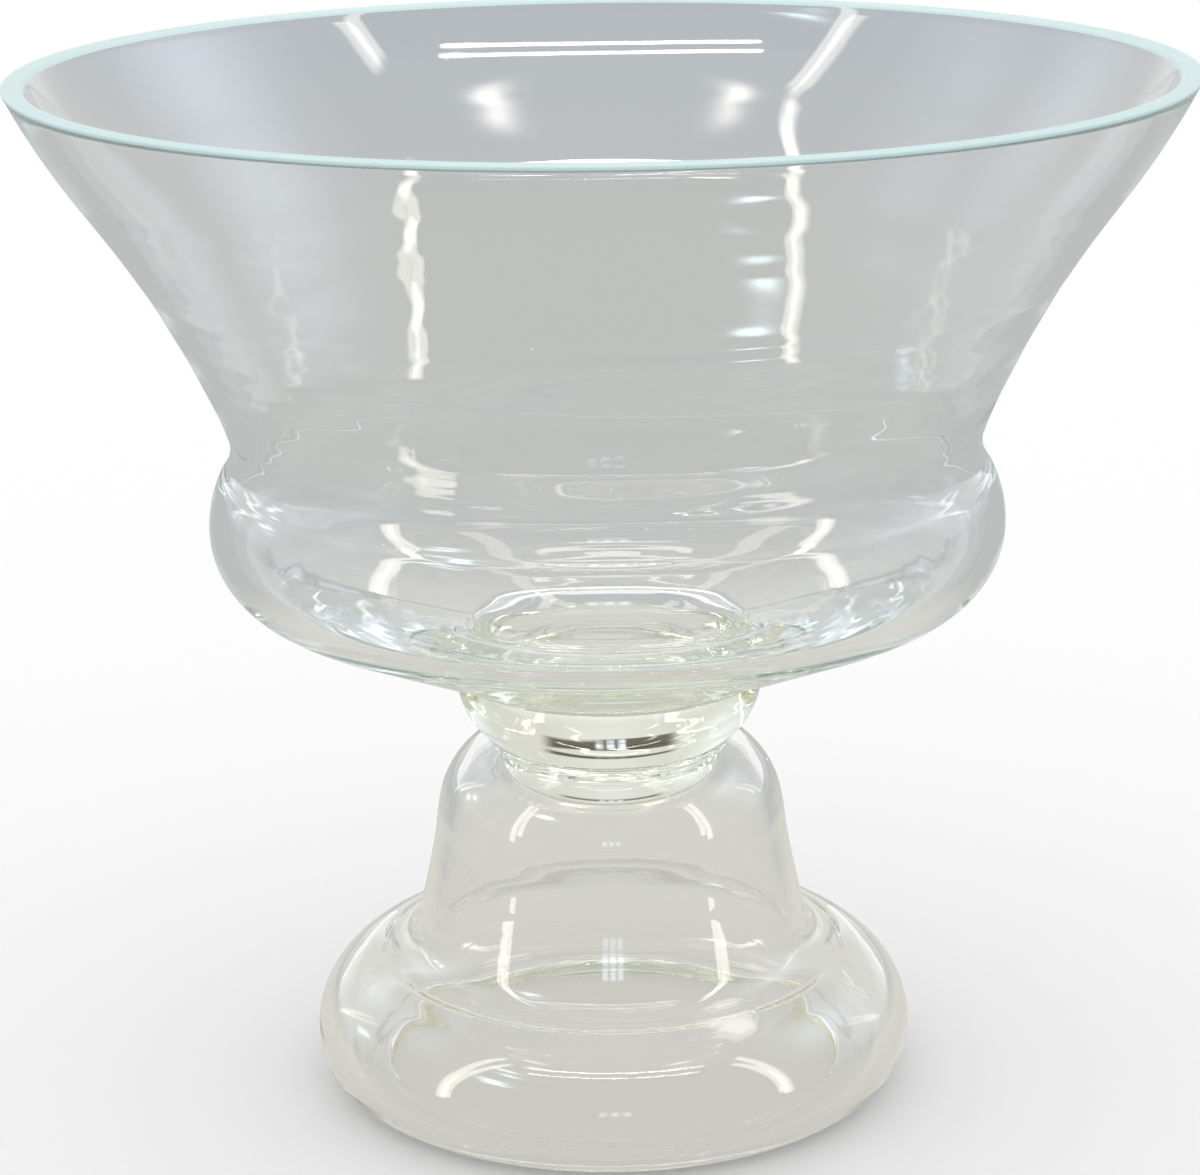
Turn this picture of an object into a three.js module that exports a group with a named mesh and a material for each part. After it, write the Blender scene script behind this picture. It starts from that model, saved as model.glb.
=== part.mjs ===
// Footed glass bowl in millimetres, +Z up, standing on the plane z = 0 with its axis on Z.
// Three pieces of clear hand-worked glass are joined hot on that axis: a blown foot that is hollow
// and open below, a solid stem whose plug hangs in the foot's neck, and a blown bowl on the stem.
// Every piece is turned from an outline of points, each a radius and a height in the piece's own frame.

import * as THREE from "three";

// Foot, from the ground up
const BASE_RING = 4.5; // width of the flat ring that it stands on
const BASE_INSET = 10.3; // the widest line back in to the flat ring
const HEEL_RISE = 12; // ground to the widest line
const INSTEP_RISE = 19.5; // widest line to the crease
const INSTEP_SPREAD = 21.5; // crease out to the widest line
const CREASE_BEND = 5; // how far the soft crease reaches each way
const BELL_RISE = 43; // crease to the shoulder
const BELL_SPREAD = 8.3; // shoulder out to the crease
const BELL_BOW = 1.2; // how far the side bows in between them
const SHOULDER_BEND = 11; // how far the round shoulder reaches each way
const SHOULDER_DROP = 5.5; // lip of the neck down to the shoulder
const SHOULDER_SPREAD = 10.3; // lip of the neck out to the shoulder
const FOOT_WALL = 3.8;
const LIP_WIDTH = 2.3; // flat lip round the neck, on which the stem sits

// Stem
const PLUG_RADIUS = 24.4;
const PLUG_DEPTH = 13; // how far the plug hangs below the lip of the neck
const PLUG_ROUND = 10; // rounding of the plug's lower edge
const COLLAR_RISE = 15; // lip of the neck to the bowl's seat
const COLLAR_SWELL = 7.1; // how far the collar stands out from the neck

// Bowl, from its seat up
const WELL_RADIUS = 30; // sunk middle of the floor
const WELL_FLAT = 14; // radius of the flat bottom of the well
const WELL_DEPTH = 6;
const WELL_EDGE = 1.2; // how far the well's rounded edge reaches each way
const FLOOR_WALL = 11; // glass between the seat and the edge of the well
const BELLY_RADIUS = 87;
const BELLY_ROUND = 18.7; // rounding from the underside to the belly
const BELLY_RISE = 35; // seat to the widest line of the belly
const WAIST_RISE = 17; // belly to waist
const WAIST_DEPTH = 6.6; // how far the waist is drawn in from the belly
const WAIST_BEND = 6; // how far the soft waist reaches each way
const FLARE_RISE = 56; // waist to the brim, where the wall leans out the most
const BRIM_LEAN = 37; // degrees that it leans out there
const BRIM_RISE = 25; // brim to rim
const BRIM_SPREAD = 15.5; // brim out to the rim
const RIM_RADIUS = 126.5; // to the sharp edge, before it is rounded
const RIM_EDGE = 1.1; // how far the rim's rounded edges reach each way
const BOWL_WALL = 4.2;

// Fits: the plug is loose in the neck by PLUG_PLAY, and joined flat faces lie SEAM apart
const PLUG_PLAY = 0.3;
const SEAM = 0.05;

// Fineness of the solids
const TURN_STEPS = 60; // round the axis
const CURVE_STEPS = 5; // along each curve of an outline
const BEND_STEPS = 4; // along each small bend

// Sizes that two pieces share
const neckBore = PLUG_RADIUS + PLUG_PLAY;
const neckRadius = neckBore + LIP_WIDTH;
const collarRadius = neckRadius + COLLAR_SWELL;
const footHeight = HEEL_RISE + INSTEP_RISE + BELL_RISE + SHOULDER_DROP;

const point = (radius, height) => new THREE.Vector2(radius, height);

// Points of an ellipse's arc between two angles in degrees, counted from straight outwards
function arc(centre, outReach, upReach, from, to) {
  const [start, end] = [from, to].map(THREE.MathUtils.degToRad);
  const curve = new THREE.EllipseCurve(centre.x, centre.y, outReach, upReach, start, end, end < start);
  return curve.getPoints(CURVE_STEPS);
}

// Replaces a sharp corner of an outline by a soft bend that reaches as far as given each way, though
// never past the outline's ends.
function softened(outline, corner, reach) {
  const at = outline.findIndex((p) => p.equals(corner));
  const isFar = (p) => p.distanceTo(corner) > reach;
  const before = outline.slice(0, at).filter(isFar);
  const after = outline.slice(at + 1).filter(isFar);
  const start = before.at(-1) ?? outline.at(0);
  const end = after.at(0) ?? outline.at(-1);
  const towards = (p) => p.clone().sub(corner).clampLength(0, reach).add(corner);
  const bend = new THREE.QuadraticBezierCurve(towards(start), corner, towards(end));
  return [...before, ...bend.getPoints(BEND_STEPS), ...after];
}

// Moves an outline that runs up the outside of a wall to that wall's inner face.
function innerFace(outline, wall) {
  return outline.map((p, i) => {
    const before = outline[Math.max(i - 1, 0)];
    const after = outline[Math.min(i + 1, outline.length - 1)];
    const along = after.clone().sub(before).normalize();
    return point(p.x - along.y * wall, p.y + along.x * wall);
  });
}

// Angle in degrees, on a circle, of the point where a line from below and inside touches its lower half
function touchAngle(from, centre, radius) {
  const away = from.clone().sub(centre);
  const spread = Math.acos(radius / away.length());
  return THREE.MathUtils.radToDeg(away.angle() + spread) - 360;
}

// Turns an outline round the axis. It runs from below, up the outside and back down the inside.
function turned(name, outline, material) {
  const geometry = new THREE.LatheGeometry(outline, TURN_STEPS).rotateX(Math.PI / 2);
  const mesh = new THREE.Mesh(geometry, material);
  mesh.name = name;
  return mesh;
}

const glass = (color) =>
  new THREE.MeshStandardMaterial({ color, roughness: 0.03, metalness: 0, transparent: true, opacity: 0.35 });

function makeFoot() {
  const lip = point(neckRadius, footHeight);
  const shoulder = point(lip.x + SHOULDER_SPREAD, lip.y - SHOULDER_DROP);
  const crease = point(shoulder.x + BELL_SPREAD, shoulder.y - BELL_RISE);
  const base = point(crease.x + INSTEP_SPREAD - BASE_INSET, 0);
  const heel = arc(point(base.x, HEEL_RISE), BASE_INSET, HEEL_RISE, -90, 0);
  const instep = arc(point(crease.x, HEEL_RISE), INSTEP_SPREAD, INSTEP_RISE, 0, 90);
  const bellPull = crease.clone().add(shoulder).multiplyScalar(0.5).sub(point(2 * BELL_BOW, 0));
  const bell = new THREE.QuadraticBezierCurve(crease, bellPull, shoulder).getPoints(CURVE_STEPS);
  const sharp = [...heel, ...instep.slice(1, -1), ...bell, lip];
  const outside = softened(softened(sharp, crease, CREASE_BEND), shoulder, SHOULDER_BEND);

  // The wall ends in the bore of the neck above, and in a rounded edge inside the flat base ring.
  const inside = innerFace(outside, FOOT_WALL).filter((p) => p.x > neckBore);
  const halfWall = FOOT_WALL / 2;
  const edge = arc(point(base.x - BASE_RING, halfWall), halfWall, halfWall, 90, 270);
  const bore = [point(neckBore, lip.y), point(neckBore, inside.at(-1).y)];
  return turned("foot", [...outside, ...bore, ...inside.reverse(), ...edge, outside[0]], glass(0xeeede4));
}

function makeStem() {
  const swellRound = (COLLAR_SWELL ** 2 + COLLAR_RISE ** 2) / (2 * COLLAR_SWELL);
  const swellTurn = THREE.MathUtils.radToDeg(Math.asin(COLLAR_RISE / swellRound));
  const swellCentre = point(collarRadius - swellRound, COLLAR_RISE);
  const plugEdge = point(PLUG_RADIUS - PLUG_ROUND, PLUG_ROUND - PLUG_DEPTH);
  const outline = [
    point(0, -PLUG_DEPTH),
    ...arc(plugEdge, PLUG_ROUND, PLUG_ROUND, -90, 0),
    point(PLUG_RADIUS, 0),
    ...arc(swellCentre, swellRound, swellRound, -swellTurn, 0),
    point(0, COLLAR_RISE),
  ];
  return turned("stem", outline, glass(0xe9efd6));
}

function makeBowl() {
  // The underside rounds up to the belly, and the floor inside it does the same, a wall further in.
  const seat = point(collarRadius, 0);
  const wellEdge = point(WELL_RADIUS, FLOOR_WALL);
  const bellyCentre = point(BELLY_RADIUS - BELLY_ROUND, BELLY_RISE);
  const roundUp = (from, round) =>
    arc(bellyCentre, round, round, touchAngle(from, bellyCentre, round), 0);
  const underside = roundUp(seat, BELLY_ROUND);
  const floor = roundUp(wellEdge, BELLY_ROUND - BOWL_WALL);

  // Over the belly the wall draws in to the waist, flares to the brim, and bends up again to the rim.
  const waist = point(BELLY_RADIUS - WAIST_DEPTH, BELLY_RISE + WAIST_RISE);
  const drawRound = (WAIST_DEPTH ** 2 + WAIST_RISE ** 2) / (2 * WAIST_DEPTH);
  const drawTurn = THREE.MathUtils.radToDeg(Math.asin(WAIST_RISE / drawRound));
  const draw = arc(point(BELLY_RADIUS - drawRound, BELLY_RISE), drawRound, drawRound, 0, drawTurn);
  const brim = point(RIM_RADIUS - BRIM_SPREAD, waist.y + FLARE_RISE);
  const rimOuter = point(RIM_RADIUS, brim.y + BRIM_RISE);
  const lean = THREE.MathUtils.degToRad(BRIM_LEAN);
  const alongBrim = (reach) => point(brim.x + reach * Math.sin(lean), brim.y + reach * Math.cos(lean));
  const flarePull = alongBrim(-brim.distanceTo(waist) / 2);
  const rimPull = alongBrim(brim.distanceTo(rimOuter) / 2);
  const flare = new THREE.QuadraticBezierCurve(waist, flarePull, brim).getPoints(CURVE_STEPS);
  const turnUp = new THREE.QuadraticBezierCurve(brim, rimPull, rimOuter).getPoints(CURVE_STEPS);
  const sharpWall = [...draw.slice(0, -1), waist, ...flare.slice(1), ...turnUp.slice(1)];
  const wall = softened(sharpWall, waist, WAIST_BEND);
  const wallInside = innerFace(wall, BOWL_WALL).slice(1, -1).reverse();

  // The rim is cut flat and its edges are rounded. The well sinks steeply to a flat bottom.
  const rimSlope = rimPull.distanceTo(rimOuter) / (rimOuter.y - rimPull.y);
  const rimInner = point(rimOuter.x - BOWL_WALL * rimSlope, rimOuter.y);
  const wellWidth = WELL_RADIUS - WELL_FLAT;
  const well = arc(point(WELL_FLAT, wellEdge.y), wellWidth, WELL_DEPTH, 0, -90).slice(1);
  const outside = [point(0, 0), seat, ...underside, ...wall.slice(1)];
  const inside = [rimInner, ...wallInside, ...floor.reverse(), wellEdge, ...well];
  const sharp = [...outside, ...inside, point(0, wellEdge.y - WELL_DEPTH)];
  const rimmed = softened(softened(sharp, rimOuter, RIM_EDGE), rimInner, RIM_EDGE);
  return turned("bowl", softened(rimmed, wellEdge, WELL_EDGE), glass(0xe8edec));
}

const footedBowl = new THREE.Group();
const foot = makeFoot();
const stem = makeStem();
const bowl = makeBowl();
stem.position.z = footHeight + SEAM;
bowl.position.z = stem.position.z + COLLAR_RISE + SEAM;
footedBowl.add(foot, stem, bowl);

export default footedBowl;
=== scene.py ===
"""Looks of the footed glass bowl: three pieces of clear blown glass, joined hot, shown in a light tent.

Each piece is turned again, finely, from the outline of its solid in the frame. Faint rings and waves from
the glassblower's tools are real shape. Where two pieces are fused, light passes straight through.
"""

import math
from collections import namedtuple

import bmesh
import bpy
import numpy as np
from mathutils import Matrix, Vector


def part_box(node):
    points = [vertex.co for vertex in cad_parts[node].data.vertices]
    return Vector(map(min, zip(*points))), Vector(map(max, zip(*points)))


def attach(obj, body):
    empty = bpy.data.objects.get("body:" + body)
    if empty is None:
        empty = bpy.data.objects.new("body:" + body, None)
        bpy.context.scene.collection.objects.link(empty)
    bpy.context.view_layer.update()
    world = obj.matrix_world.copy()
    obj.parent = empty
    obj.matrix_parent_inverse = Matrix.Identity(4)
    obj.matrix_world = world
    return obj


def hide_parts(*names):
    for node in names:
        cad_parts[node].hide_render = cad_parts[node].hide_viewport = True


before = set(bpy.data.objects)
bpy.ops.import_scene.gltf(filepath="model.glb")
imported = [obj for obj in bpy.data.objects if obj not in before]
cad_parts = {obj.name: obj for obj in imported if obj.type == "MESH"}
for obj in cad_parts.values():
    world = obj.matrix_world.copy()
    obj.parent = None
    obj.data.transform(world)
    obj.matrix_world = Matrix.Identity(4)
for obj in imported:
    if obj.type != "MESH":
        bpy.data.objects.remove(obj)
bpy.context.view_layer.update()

MM = 0.001
WHITE = (1.0, 1.0, 1.0)
WHOLE = (0.0, 1.0)  # the range of a share

# Fineness of the turned pieces, in metres and steps
SAME_POINT = 0.002 * MM
ON_FACE = 0.1 * MM  # a point closer to a joined face than this lies on it
OUTLINE_STEP = 0.7 * MM
TURN_STEPS = 160
CORNER_TURN = math.radians(30)  # a sharper turn between two long stretches of an outline is a real corner
CORNER_STRETCH = 2 * MM
LONG_SHARE = 2.5  # a stretch this much longer than the next one is straight

# Faint rings and waves left by the tools: spacing along the outline, depth, how many lobes round the axis,
# and the heights between which they lie, on the outside (1), the inside (-1) or both (0)
Rings = namedtuple("Rings", "spacing depth lobes low high side")
RINGS = {
    "bowl": [
        Rings(13.5 * MM, 0.065 * MM, 2, 150 * MM, 190 * MM, 0),
        Rings(5.3 * MM, 0.008 * MM, 2, 118 * MM, 190 * MM, 0),
        Rings(3.4 * MM, 0.004 * MM, 1, 95 * MM, 112 * MM, 1),
        Rings(61 * MM, 0.04 * MM, 2, 112 * MM, 190 * MM, 0),
        Rings(96.8 * MM, 0.13 * MM, 0, 185 * MM, 229 * MM, 1),
        Rings(4.8 * MM, 0.015 * MM, 1, 104 * MM, 120 * MM, -1),
    ],
    "stem": [Rings(4.1 * MM, 0.02 * MM, 3, 81 * MM, 94 * MM, 1)],
    "foot": [
        Rings(6.1 * MM, 0.010 * MM, 1, 4 * MM, 79 * MM, 0),
        Rings(43 * MM, 0.07 * MM, 2, 4 * MM, 79 * MM, 0),
    ],
}
RING_FADE = 3 * MM  # over which they fade out at those heights
SEAM_FADE = 4 * MM  # over which they fade out beside a fused face
RING_DRIFT = 1.3  # radians of its wave by which a ring wanders on its way round
RING_SWELL = 0.25  # share of its depth that comes and goes on its way round
WAVE_SHIFT = 2.1  # radians from one set of rings to the next, so that no two sets start alike
DRIFT_SHIFT = 1.7
SWELL_SHIFT = 0.9

# Glass: refractive index, and what a decimetre of it lets through in red, green and blue
GLASS_INDEX = 1.5
AIR_INDEX = 1.0
DECIMETRE = 0.1
BOWL_CLARITY = (0.92, 0.97, 0.955)
STEM_CLARITY = (0.925, 0.945, 0.77)
FOOT_CLARITY = (0.955, 0.953, 0.90)

# Faint wipe marks on the glass: the noise they are made of, the part of it that shows, and the roughest mark
MARK_SCALE = 38
MARK_DETAIL = 6
MARK_DISTORTION = 0.6
MARK_SHOWS = (0.5, 0.8)
MARK_ROUGHNESS = 0.05

# The bowl's rim is cut flat and left satin: how far down its edges that reaches, and how it scatters light.
# Its bright pale aqua scatter is a painted glow, standing in for light that the glass carries along to its
# rim
CUT_EDGE = 1.2 * MM
SATIN_ROUGHNESS = 0.35
SATIN_GLOW_SCATTER = 0.85
SATIN_GLOW_COLOUR = (0.76, 0.97, 0.97)

# Camera that matches the photo: place in metres, angles in degrees
CAMERA_PLACE = (-0.0018, -0.75, 0.3316)
CAMERA_PITCH = 16.23
CAMERA_ROLL = -0.75
IMAGE_WIDTH = 1200
FOCAL_PIXELS = 3533
SENSOR_WIDTH = 36
NEAREST_SEEN = 0.01  # metres

# Light tent: radius in metres, and its mesh, with the rows closest together round the thin lintel
TENT_RADIUS = 4.0
TENT_COLUMNS = 480
TENT_ROWS = 400
ROW_SHARES = (0, 0.4, 0.85, 1)
ROW_HEIGHTS = (-2, 50, 66, 90)  # degrees up from level at those shares of the rows

# Colours of the tent in linear light
WALL_COLOUR = np.array((0.62, 0.63, 0.64))
TOP_COLOUR = np.array((0.84, 0.85, 0.86))
BACK_COLOUR = np.array((0.74, 0.74, 0.725))
HORIZON_COLOUR = np.array((1.0, 1.0, 1.0))
ROOM_COLOUR = np.array((0.47, 0.46, 0.45))
GATE_COLOUR = np.array((8.0, 7.6, 6.9))
LINTEL_COLOUR = np.array((48.0, 45.0, 41.0))
GLOW_COLOUR = np.array((1.1, 1.25, 1.5))
WINDOW_COLOUR = np.array((3.2, 3.5, 4.3))
LAMP_COLOUR = np.array((4.6, 5.8, 6.2))
DOOR_COLOUR = np.array((0.10, 0.08, 0.06))

# Directions in the tent are in degrees: across, to the right from the camera's side, and up from level.
# An edge is the width of a soft change, and a pair ending in FROM or TO is a change's middle and width.
TOP_FROM = (65, 40)
BACK_FROM = (140, 30)  # across, to either side
BACK_UP_TO = (45, 20)
HORIZON_UP_TO = (11, 6)
GLOWS = (  # where, size, and share of the glow's full strength
    ((118, 14), (13, 13), 0.3),
    ((-118, 14), (13, 13), 0.25),
    ((112, 36), (20, 13), 1.2),
    ((-138, 28), (14, 10), 0.5),
    ((-106, 40), (18, 11), 0.5),
    ((180, 18), (12, 7), 0.1),
)

# Dark doorway behind, with three panes side by side
ABREAST = (-1, 0, 1)  # places of the three, in steps from the middle
DOOR_AT = (180, 18.9)
DOOR_HALF = (19, 1.3)
DOOR_EDGE = (6, 0.5)
PANE_STEP = 3.2
PANE_DROP = 0.2  # how far below the door's middle they lie
PANE_HALF = (1.0, 0.8)
PANE_EDGE = (0.8, 0.4)
PANE_SHARE = 0.28  # of the windows' strength

# Bright arch behind
ARCH = (  # across, all round from the camera's side, and up
    (125, 150, 165, 172, 180, 188, 195, 210, 235),
    (66, 62, 58, 50, 45.5, 47, 52, 57, 60),
)
ARCH_HALF = 2.0
ARCH_EDGE = 0.8
ARCH_OUT_TO = (50, 6.0)  # across from straight behind
ARCH_SHARE = 0.45  # of the gate's strength

# Gate in front: two posts, a thin lintel, and the room in its opening
POST_AT = 67
POST_HALF = 2.0
POST_EDGE = 0.8
POST_TOPS = (52.4, 59)  # of the right and the left post
POST_TOP_EDGE = 2.0
LINTEL_AT = 58.8  # in the middle
LINTEL_SAG = 4.2  # how much lower it is at its ends
LINTEL_END = 48
LINTEL_END_EDGE = 2.0
LINTEL_HALF = 0.25
LINTEL_EDGE = 0.2
OPENING_EDGE = 1.0

# Smaller lights: lamps, bright patches, slanting strips at the sides, and three windows behind the camera
LAMPS = (  # where, size, and share of the lamps' full strength
    ((-52.5, 47.0), (6, 0.9), 2.6),
    ((-52.7, 33.9), (6, 1.6), 2.6),
    ((-117, 12), (2.5, 2.0), 1.0),
)
PATCHES = (  # where, and size
    ((43, 63.7), (8.5, 1.2)),
    ((-52, 62.7), (8, 1.1)),
)
SLATS = (  # upper and lower end
    ((116, 24), (125, 6)),
    ((-121, 24), (-134, 3)),
)
SLAT_HALF = 1.2
SLAT_EDGE = 1.5
SLAT_END_EDGE = 4.0
SLAT_SHARE = 0.25  # of the gate's strength
WINDOW_STEP = 4.5
WINDOW_UP = 7.5
WINDOW_HALF = (1.5, 1.5)
WINDOW_EDGE = (0.6, 0.6)

# Floor: what the glass shows of it near the bowl, further out and at its end, and where each change lies.
# This tone is painted light: paler and warmer near the bowl, darker and bluer further out
NEAR_FLOOR = (0.70, 0.695, 0.64)
FAR_FLOOR = (0.51, 0.52, 0.515)
END_FLOOR = (0.47, 0.50, 0.525)
FAR_BETWEEN = (0.15, 0.32)  # metres from the axis
END_BETWEEN = (1.0, 1.7)
FLOOR_EVENNESS = 0.7  # how far the floor that the glass shows is evenly bright, without the shadow
FLOOR_DROP = 0.05 * MM  # below the foot
FLOOR_SIDES = 128

# With fewer bounces, dark lines show where light runs on inside the foot's wall
GLASS_BOUNCES = 200


def outline_of(node):
    """Points of a node's outline, radius and height, in order: up the outside and down the inside."""
    shape = bmesh.new()
    shape.from_mesh(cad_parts[node].data)
    bmesh.ops.remove_doubles(shape, verts=shape.verts, dist=SAME_POINT)
    on_plane = {v for v in shape.verts if abs(v.co.y) < SAME_POINT and v.co.x > -SAME_POINT}
    beside = {v: [e.other_vert(v) for e in v.link_edges if e.other_vert(v) in on_plane] for v in on_plane}
    ends = [v for v in on_plane if len(beside[v]) == 1]
    at = min(ends or on_plane, key=lambda v: (v.co.z, -v.co.x))
    chain = [at]
    at = max(beside[at], key=lambda v: v.co.x)
    while at is not None and at is not chain[0]:
        chain.append(at)
        at = next((v for v in beside[at] if v not in chain[-2:]), None)
    if not ends:
        chain.append(chain[0])
    points = np.array([(max(v.co.x, 0.0), v.co.z) for v in chain])
    shape.free()
    return points


def with_point_at(points, radius, height):
    """The outline with one more point on the upright stretch at that radius."""
    for i, (a, b) in enumerate(zip(points, points[1:])):
        upright = abs(a[0] - radius) < SAME_POINT and abs(b[0] - radius) < SAME_POINT
        if upright and min(a[1], b[1]) < height < max(a[1], b[1]):
            return np.insert(points, i + 1, (radius, height), axis=0)
    return points


def unit(vector):
    """The vector's direction, with length 1."""
    return vector / np.linalg.norm(vector)


def tangents(run):
    """Directions of a smooth curve through a run of points: straight on long stretches, else round."""
    chords = np.diff(run, axis=0)
    lengths = np.linalg.norm(chords, axis=1)
    found = [None] * len(run)
    for i in range(1, len(run) - 1):
        before, after = lengths[i - 1], lengths[i]
        if before > LONG_SHARE * after:
            found[i] = unit(chords[i - 1])
        elif after > LONG_SHARE * before:
            found[i] = unit(chords[i])
        else:
            found[i] = unit(chords[i - 1] / before**2 + chords[i] / after**2)
    for end, inner, chord in ((0, 1, unit(chords[0])), (-1, -2, unit(chords[-1]))):
        known = found[inner] if found[inner] is not None else chord
        found[end] = 2 * (known @ chord) * chord - known
    return found


def smooth_run(run):
    """Closely spaced points along the smooth curve through a run of points, without the last."""
    found = tangents(run)
    curve = []
    for a, b, out, into in zip(run, run[1:], found, found[1:]):
        length = np.linalg.norm(b - a)
        steps = max(2, round(length / OUTLINE_STEP))
        t = np.arange(steps)[:, None] / steps
        handle_a = a + out * length / 3
        handle_b = b - into * length / 3
        curve.append(
            (1 - t)**3 * a
            + 3 * (1 - t)**2 * t * handle_a
            + 3 * (1 - t) * t**2 * handle_b
            + t**3 * b
        )
    return np.concatenate(curve)


def smooth_outline(points, is_fused):
    """The outline as a fine curve with its true corners kept, and which of its stretches are fused."""
    middles = (points[:-1] + points[1:]) / 2
    fused = np.array([is_fused(radius, height) for radius, height in middles])
    chords = np.diff(points, axis=0)
    lengths = np.linalg.norm(chords, axis=1)
    corners = [0]
    for i in range(1, len(points) - 1):
        turn = math.acos(np.clip(unit(chords[i - 1]) @ unit(chords[i]), -1, 1))
        long_sides = min(lengths[i - 1], lengths[i]) > CORNER_STRETCH
        if fused[i - 1] != fused[i] or (turn > CORNER_TURN and long_sides):
            corners.append(i)
    corners.append(len(points) - 1)
    curve = []
    flags = []
    for first, last in zip(corners, corners[1:]):
        run = smooth_run(points[first:last + 1])
        curve.append(run)
        flags += [fused[first]] * len(run)
    curve.append(points[-1:])
    return np.concatenate(curve), np.array(flags)


def ring_waves(curve, fused, rings, angles):
    """How far each point of the turned surface stands out along its normal, by outline point and angle."""
    along = np.concatenate([[0], np.cumsum(np.linalg.norm(np.diff(curve, axis=0), axis=1))])
    top = np.argmax(curve[:, 1])
    side = np.where(np.arange(len(curve)) <= top, 1, -1)
    fused_at = np.nonzero(fused)[0]
    clear_of = along[np.concatenate([fused_at, fused_at + 1])]
    fade = np.ones(len(curve))
    if len(clear_of):
        fade = np.clip(np.abs(along[:, None] - clear_of).min(axis=1) / SEAM_FADE, 0, 1)
    waves = np.zeros((len(curve), len(angles)))
    for k, ring in enumerate(rings):
        from_below = np.clip((curve[:, 1] - ring.low) / RING_FADE, 0, 1)
        from_above = np.clip((ring.high - curve[:, 1]) / RING_FADE, 0, 1)
        inside = from_below * from_above
        if ring.side:
            inside = inside * (side == ring.side)
        phase = 2 * math.pi * along[:, None] / ring.spacing
        drift = RING_DRIFT * np.sin(ring.lobes * angles + DRIFT_SHIFT * k)[None, :]
        swell = RING_SWELL * np.sin((ring.lobes + 1) * angles + SWELL_SHIFT * k)[None, :]
        depth = ring.depth * (inside * fade)[:, None] * (1 - RING_SWELL + swell)
        waves += depth * np.sin(phase + drift + WAVE_SHIFT * k)
    return waves


def turned_places(curve, fused, rings, angles):
    """Radius and height of each point of the turned surface, by outline point and angle."""
    ahead = np.concatenate([curve[1:], curve[-1:]])
    behind = np.concatenate([curve[:1], curve[:-1]])
    along = ahead - behind
    along /= np.linalg.norm(along, axis=1)[:, None]
    waves = ring_waves(curve, fused, rings, angles)
    return curve[:, :1] + waves * along[:, 1:], curve[:, 1:] - waves * along[:, :1]


def turned(name, curve, fused, rings, satin_above):
    """A closed mesh of the outline turned round the axis, with its fused and satin faces marked."""
    angles = np.arange(TURN_STEPS) * 2 * math.pi / TURN_STEPS
    radius, height = turned_places(curve, fused, rings, angles)
    shape = bmesh.new()
    closed = np.allclose(curve[0], curve[-1])
    columns = []
    for i in range(len(curve) - 1 if closed else len(curve)):
        if curve[i, 0] < SAME_POINT:
            columns.append([shape.verts.new((0, 0, curve[i, 1]))] * TURN_STEPS)
            continue
        x = radius[i] * np.cos(angles)
        y = radius[i] * np.sin(angles)
        columns.append([shape.verts.new(place) for place in zip(x, y, height[i])])
    if closed:
        columns.append(columns[0])
    fused_layer = shape.faces.layers.float.new("fused")
    satin_layer = shape.faces.layers.float.new("satin")
    satin = (curve[1:, 1] + curve[:-1, 1]) / 2 > satin_above
    for is_fused, is_satin, low, high in zip(fused, satin, columns, columns[1:]):
        for j in range(TURN_STEPS):
            k = (j + 1) % TURN_STEPS
            face = shape.faces.new(dict.fromkeys((low[j], low[k], high[k], high[j])))
            face[fused_layer] = float(is_fused)
            face[satin_layer] = float(is_satin)
            face.smooth = True
    for edge in shape.edges:
        if len(edge.link_faces) == 2 and edge.calc_face_angle() > CORNER_TURN:
            edge.smooth = False
    mesh = bpy.data.meshes.new(name)
    shape.to_mesh(mesh)
    shape.free()
    piece = bpy.data.objects.new(name, mesh)
    bpy.context.scene.collection.objects.link(piece)
    return piece


def feed(tree, socket, source):
    """Gives a node's input another node's output, or a fixed colour or number."""
    if isinstance(source, bpy.types.NodeSocket):
        tree.links.new(source, socket)
    elif isinstance(source, tuple):
        socket.default_value = (*source, 1)
    else:
        socket.default_value = source


def mapped(tree, value, before, after, interpolation="LINEAR"):
    """Output of a node that takes a value from one range to another and keeps it there."""
    node = tree.nodes.new("ShaderNodeMapRange")
    node.interpolation_type = interpolation
    names = ("Value", "From Min", "From Max", "To Min", "To Max")
    for name, source in zip(names, (value, *before, *after)):
        feed(tree, node.inputs[name], source)
    return node.outputs["Result"]


def mixed(tree, share, colour, other):
    """Output of a node that mixes a share of another colour into a colour."""
    node = tree.nodes.new("ShaderNodeMix")
    node.data_type = "RGBA"
    for name, source in zip(("Factor", "A", "B"), (share, colour, other)):
        feed(tree, node.inputs[name], source)
    return node.outputs["Result"]


def attribute(tree, name, output):
    """Output of a node that reads an attribute of the mesh."""
    node = tree.nodes.new("ShaderNodeAttribute")
    node.attribute_name = name
    return node.outputs[output]


def make_satin_and_glow(material):
    """Where a face is marked satin, the glass is rough and mostly scatters light, in a pale aqua that is a
    painted glow of light carried along the glass to its rim.
    """
    tree = material.node_tree
    shader = tree.nodes["Principled BSDF"]
    polished = shader.inputs["Roughness"].links[0].from_socket
    satin = attribute(tree, "satin", "Fac")
    rough = mapped(tree, satin, WHOLE, (polished, SATIN_ROUGHNESS))
    # Besides their real roughness, the satin faces scatter light in a pale aqua: a painted glow on the rim
    clear = mapped(tree, satin, WHOLE, (1.0, 1.0 - SATIN_GLOW_SCATTER))
    feed(tree, shader.inputs["Roughness"], rough)
    feed(tree, shader.inputs["Transmission Weight"], clear)
    feed(tree, shader.inputs["Base Color"], mixed(tree, satin, WHITE, SATIN_GLOW_COLOUR))


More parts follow.
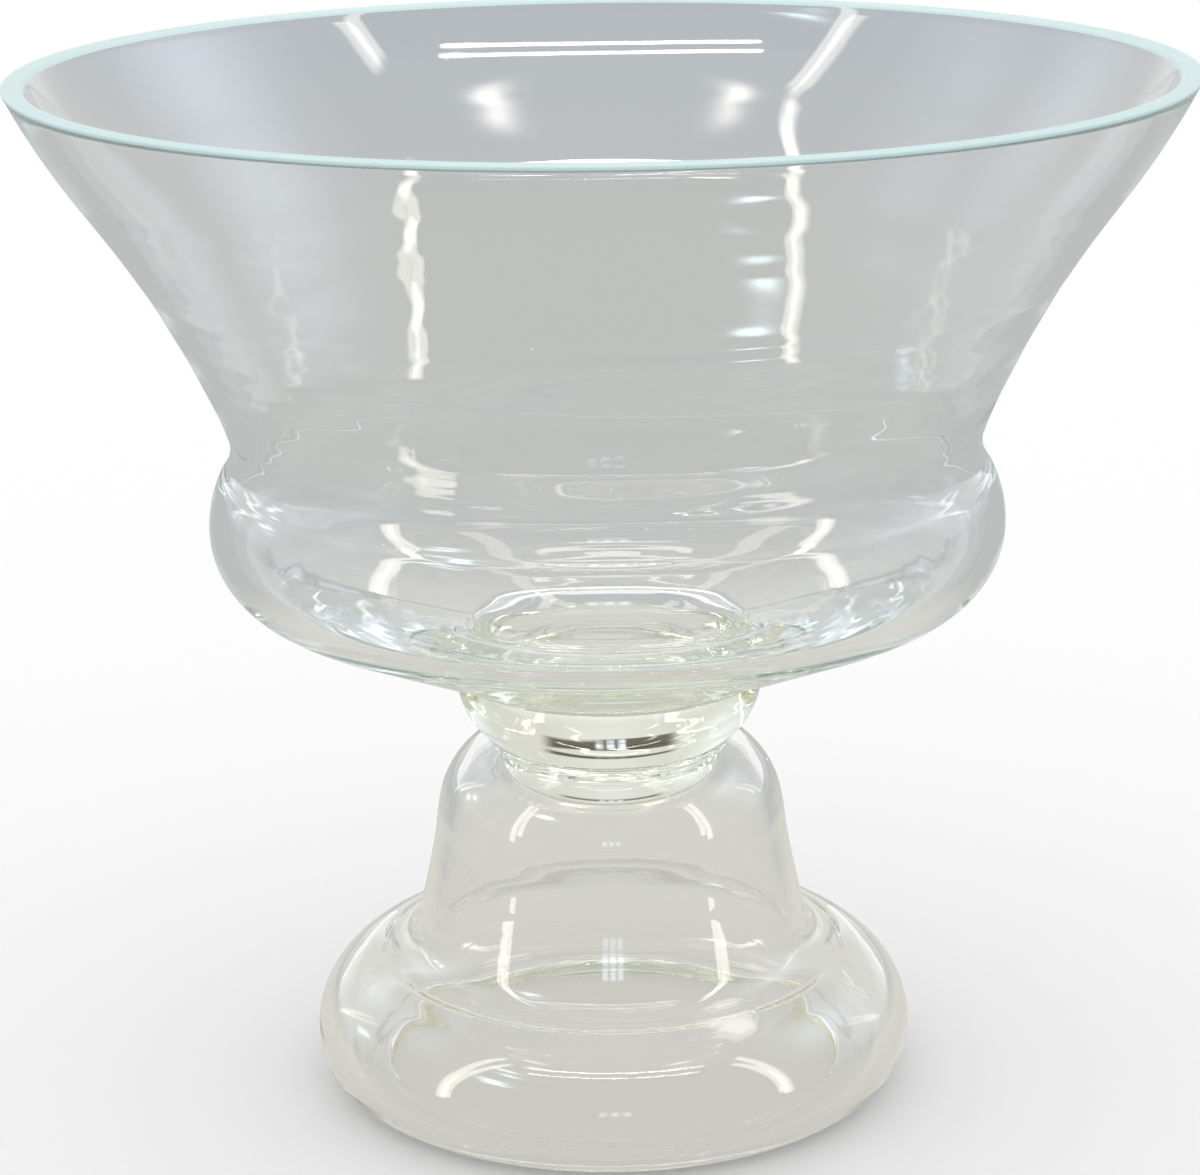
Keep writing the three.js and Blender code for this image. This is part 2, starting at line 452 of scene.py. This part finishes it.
def glass(name, clarity):
    """Clear glass that tints with thickness, with faint wipe marks, and no surface where it is fused."""
    material = bpy.data.materials.new(name)
    material.use_nodes = True
    tree = material.node_tree
    shader = tree.nodes["Principled BSDF"]
    shader.inputs["Base Color"].default_value = (*WHITE, 1)
    shader.inputs["Transmission Weight"].default_value = 1.0
    shader.inputs["IOR"].default_value = GLASS_INDEX

    place = tree.nodes.new("ShaderNodeTexCoord")
    marks = tree.nodes.new("ShaderNodeTexNoise")
    marks.inputs["Scale"].default_value = MARK_SCALE
    marks.inputs["Detail"].default_value = MARK_DETAIL
    marks.inputs["Distortion"].default_value = MARK_DISTORTION
    feed(tree, marks.inputs["Vector"], place.outputs["Object"])
    haze = mapped(tree, marks.outputs["Fac"], MARK_SHOWS, (0.0, MARK_ROUGHNESS))
    feed(tree, shader.inputs["Roughness"], haze)

    index = mapped(tree, attribute(tree, "fused", "Fac"), WHOLE, (GLASS_INDEX, AIR_INDEX))
    feed(tree, shader.inputs["IOR"], index)

    lost = [-math.log(share) / DECIMETRE for share in clarity]
    body = tree.nodes.new("ShaderNodeVolumeAbsorption")
    body.inputs["Density"].default_value = max(lost)
    body.inputs["Color"].default_value = (*(1 - x / max(lost) for x in lost), 1)
    feed(tree, tree.nodes["Material Output"].inputs["Volume"], body.outputs["Volume"])
    return material


def make_piece(node, is_fused, clarity, extra_point=None, satin_above=math.inf):
    """The fine piece that stands for a solid of the frame."""
    points = outline_of(node)
    if extra_point:
        points = with_point_at(points, *extra_point)
    curve, fused = smooth_outline(points, is_fused)
    piece = turned(f"{node}_blown", curve, fused, RINGS[node], satin_above)
    material = glass(f"{node}_glass", clarity)
    if satin_above < math.inf:
        make_satin_and_glow(material)
    piece.data.materials.append(material)
    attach(piece, "root")
    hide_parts(node)


def make_pieces():
    """Bowl, stem and foot. They are fused at the bowl's seat and where the stem fills the foot's neck."""
    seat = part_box("bowl")[0].z
    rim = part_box("bowl")[1].z
    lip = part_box("foot")[1].z
    foot_points = outline_of("foot")
    on_lip = foot_points[np.abs(foot_points[:, 1] - lip) < ON_FACE]
    bore = on_lip[:, 0].min()
    neck = on_lip[:, 0].max()
    in_bore = np.abs(foot_points[:, 0] - bore) < ON_FACE
    bore_end = foot_points[in_bore, 1].min()
    stem_points = outline_of("stem")
    below_lip = stem_points[stem_points[:, 1] < lip]
    plug = below_lip[:, 0].max()

    def stem_is_fused(radius, height):
        under_bowl = height > seat - ON_FACE
        on_neck = radius < neck and abs(height - lip) < ON_FACE
        beside_bore = abs(radius - plug) < ON_FACE and bore_end < height < lip + ON_FACE
        return under_bowl or on_neck or beside_bore

    def foot_is_fused(radius, height):
        return height > lip - ON_FACE or abs(radius - bore) < ON_FACE

    def bowl_is_fused(radius, height):
        return height < seat + ON_FACE

    make_piece("bowl", bowl_is_fused, BOWL_CLARITY, satin_above=rim - CUT_EDGE)
    make_piece("stem", stem_is_fused, STEM_CLARITY, extra_point=(plug, bore_end))
    make_piece("foot", foot_is_fused, FOOT_CLARITY)


def soft_step(value, middle, width):
    """0 below a soft change and 1 above it."""
    t = np.clip((value - middle) / width + 0.5, 0, 1)
    return t * t * (3 - 2 * t)


def soft_end(value, middle, width):
    """1 below a soft change and 0 above it."""
    return 1 - soft_step(value, middle, width)


def turn_from(across, middle):
    """Degrees across from a direction, the short way round."""
    return (across - middle + 180) % 360 - 180


def spot(across, up, at, size):
    """A soft round spot in the tent, 1 at its middle."""
    return np.exp(-((turn_from(across, at[0]) / size[0])**2) - ((up - at[1]) / size[1])**2)


def panel(across, up, at, half, edge):
    """A soft-edged rectangle in the tent, 1 inside it."""
    within_across = soft_end(np.abs(turn_from(across, at[0])), half[0], edge[0])
    return within_across * soft_end(np.abs(up - at[1]), half[1], edge[1])


def layer(light, colour, amount):
    """The light with a colour laid over it, by amounts from 0 to 1."""
    return light * (1 - amount[:, None]) + colour * amount[:, None]


def back_light(across, up):
    """The tent's walls and top, and behind the bowl a pale horizon, glows, the doorway and the arch."""
    light = layer(np.tile(WALL_COLOUR, (len(up), 1)), TOP_COLOUR, soft_step(up, *TOP_FROM))
    behind = soft_step(np.abs(across), *BACK_FROM)
    light = layer(light, BACK_COLOUR, behind * soft_end(up, *BACK_UP_TO))
    light = layer(light, HORIZON_COLOUR, behind * soft_end(up, *HORIZON_UP_TO))
    for at, size, share in GLOWS:
        light += GLOW_COLOUR * share * spot(across, up, at, size)[:, None]
    light = layer(light, DOOR_COLOUR, panel(across, up, DOOR_AT, DOOR_HALF, DOOR_EDGE))
    for k in ABREAST:
        pane_at = (DOOR_AT[0] + PANE_STEP * k, DOOR_AT[1] - PANE_DROP)
        light += WINDOW_COLOUR * PANE_SHARE * panel(across, up, pane_at, PANE_HALF, PANE_EDGE)[:, None]
    arch = soft_end(np.abs(up - np.interp(across % 360, *ARCH)), ARCH_HALF, ARCH_EDGE)
    arch *= soft_end(np.abs(across % 360 - 180), *ARCH_OUT_TO)
    return layer(light, GATE_COLOUR, ARCH_SHARE * arch)


def with_gate(light, across, up):
    """The light with the gate in front of it: the room in its opening, the lintel and the posts."""
    turn = np.abs(across)
    lifted = up + LINTEL_SAG * (turn / LINTEL_END)**2  # as if the lintel did not sag
    opening = soft_end(turn, POST_AT, OPENING_EDGE) * soft_end(lifted, LINTEL_AT, OPENING_EDGE)
    light = layer(light, ROOM_COLOUR, opening)
    lintel = soft_end(np.abs(lifted - LINTEL_AT), LINTEL_HALF, LINTEL_EDGE)
    light = layer(light, LINTEL_COLOUR, lintel * soft_end(turn, LINTEL_END, LINTEL_END_EDGE))
    post_top = np.where(across > 0, *POST_TOPS)
    posts = soft_end(np.abs(turn - POST_AT), POST_HALF, POST_EDGE) * soft_end(up, post_top, POST_TOP_EDGE)
    return layer(light, GATE_COLOUR, posts)


def tent_light(across, up):
    """Colour of the tent's inside by direction: what is behind, the gate in front, and smaller lights."""
    light = with_gate(back_light(across, up), across, up)
    for at, size, share in LAMPS:
        light += LAMP_COLOUR * share * spot(across, up, at, size)[:, None]
    for at, size in PATCHES:
        light += GATE_COLOUR * spot(across, up, at, size)[:, None]
    for (top_across, top), (low_across, low) in SLATS:
        middle = np.interp(up, (low, top), (low_across, top_across))
        within = soft_end(up, top, SLAT_END_EDGE) * soft_step(up, low, SLAT_END_EDGE)
        strip = soft_end(np.abs(across - middle), SLAT_HALF, SLAT_EDGE) * within
        light += GATE_COLOUR * SLAT_SHARE * strip[:, None]
    for k in ABREAST:
        window_at = (WINDOW_STEP * k, WINDOW_UP)
        light += WINDOW_COLOUR * panel(across, up, window_at, WINDOW_HALF, WINDOW_EDGE)[:, None]
    return light


def tent_material():
    """Light of the colours that the tent's mesh holds, and plain white to light that the floor scatters."""
    material = bpy.data.materials.new("tent_light")
    material.use_nodes = True
    material.cycles.emission_sampling = "NONE"
    tree = material.node_tree
    tree.nodes.remove(tree.nodes["Principled BSDF"])
    path = tree.nodes.new("ShaderNodeLightPath")
    glow = tree.nodes.new("ShaderNodeEmission")
    colour = mixed(tree, path.outputs["Diffuse Depth"], attribute(tree, "light", "Color"), WHITE)
    feed(tree, glow.inputs["Color"], colour)
    feed(tree, tree.nodes["Material Output"].inputs["Surface"], glow.outputs["Emission"])
    return material


def make_tent():
    """Inside of the light tent, which only the glass shows: by reflection, and through its walls."""
    columns = np.linspace(-180, 180, TENT_COLUMNS, endpoint=False)
    rows = np.interp(np.linspace(0, 1, TENT_ROWS), ROW_SHARES, ROW_HEIGHTS)
    across, up = (grid.ravel() for grid in np.meshgrid(columns, rows))
    turn = np.radians(across)
    rise = np.radians(up)
    level = np.cos(rise)
    places = TENT_RADIUS * np.stack([np.sin(turn) * level, -np.cos(turn) * level, np.sin(rise)], 1)
    faces = []
    for i in range(TENT_ROWS - 1):
        low = i * TENT_COLUMNS
        high = low + TENT_COLUMNS
        for j in range(TENT_COLUMNS):
            k = (j + 1) % TENT_COLUMNS
            faces.append((low + j, low + k, high + k, high + j))
    mesh = bpy.data.meshes.new("tent")
    mesh.from_pydata(places.tolist(), [], faces)
    colours = np.column_stack([tent_light(across, up), np.ones(len(across))])
    mesh.attributes.new("light", "FLOAT_COLOR", "POINT").data.foreach_set("color", colours.ravel())
    mesh.materials.append(tent_material())
    tent = bpy.data.objects.new("tent", mesh)
    bpy.context.scene.collection.objects.link(tent)
    tent.visible_camera = False
    tent.visible_diffuse = False
    tent.visible_shadow = False


def floor_material():
    """White to the camera, with the shadow. To the glass it shows a painted fall of light, paler near the
    bowl and darker further out, and its shadow is weaker.
    """
    material = bpy.data.materials.new("floor")
    material.use_nodes = True
    tree = material.node_tree
    tree.nodes.remove(tree.nodes["Principled BSDF"])
    place = tree.nodes.new("ShaderNodeTexCoord")
    reach = tree.nodes.new("ShaderNodeVectorMath")
    reach.operation = "LENGTH"
    feed(tree, reach.inputs[0], place.outputs["Object"])
    far = mapped(tree, reach.outputs["Value"], FAR_BETWEEN, WHOLE, "SMOOTHSTEP")
    end = mapped(tree, reach.outputs["Value"], END_BETWEEN, WHOLE, "SMOOTHSTEP")
    # Paler near the bowl and darker further out: painted light on the floor that the glass shows
    painted_light_tone = mixed(tree, end, mixed(tree, far, NEAR_FLOOR, FAR_FLOOR), END_FLOOR)

    to_camera = tree.nodes.new("ShaderNodeLightPath").outputs["Is Camera Ray"]
    paper = tree.nodes.new("ShaderNodeBsdfDiffuse")
    even = tree.nodes.new("ShaderNodeEmission")
    surface = tree.nodes.new("ShaderNodeMixShader")
    feed(tree, paper.inputs["Color"], mixed(tree, to_camera, painted_light_tone, WHITE))
    feed(tree, even.inputs["Color"], painted_light_tone)
    feed(tree, surface.inputs["Fac"], mapped(tree, to_camera, WHOLE, (FLOOR_EVENNESS, 0.0)))
    feed(tree, surface.inputs[1], paper.outputs["BSDF"])
    feed(tree, surface.inputs[2], even.outputs["Emission"])
    feed(tree, tree.nodes["Material Output"].inputs["Surface"], surface.outputs["Shader"])
    return material


def make_floor():
    """Pale round floor that reaches to the tent."""
    bpy.ops.mesh.primitive_circle_add(vertices=FLOOR_SIDES, radius=TENT_RADIUS, fill_type="NGON")
    floor = bpy.context.object
    floor.name = "floor"
    floor.location.z = -FLOOR_DROP
    floor.data.materials.append(floor_material())


def make_world():
    """Even white light from all round, which is also the background that the camera sees."""
    world = bpy.data.worlds.new("studio")
    bpy.context.scene.world = world
    world.use_nodes = True
    background = world.node_tree.nodes["Background"]
    background.inputs["Color"].default_value = (*WHITE, 1)
    background.inputs["Strength"].default_value = 1


def make_camera():
    """Camera at the photo's viewing angle."""
    camera = bpy.data.objects.new("camera", bpy.data.cameras.new("camera"))
    bpy.context.scene.collection.objects.link(camera)
    bpy.context.scene.camera = camera
    camera.data.sensor_width = SENSOR_WIDTH
    camera.data.lens = SENSOR_WIDTH * FOCAL_PIXELS / IMAGE_WIDTH
    camera.data.clip_start = NEAREST_SEEN
    pitch = Matrix.Rotation(math.radians(90 - CAMERA_PITCH), 4, "X")
    roll = Matrix.Rotation(math.radians(CAMERA_ROLL), 4, "Z")
    camera.matrix_world = Matrix.Translation(CAMERA_PLACE) @ pitch @ roll


def set_light_paths():
    """Glass needs many bounces, and plain colours need the standard view."""
    scene = bpy.context.scene
    scene.view_settings.view_transform = "Standard"
    scene.cycles.sample_clamp_indirect = 0
    scene.cycles.max_bounces = GLASS_BOUNCES
    scene.cycles.transmission_bounces = GLASS_BOUNCES
    scene.cycles.glossy_bounces = GLASS_BOUNCES


make_camera()
make_pieces()
make_tent()
make_floor()
make_world()
set_light_paths()
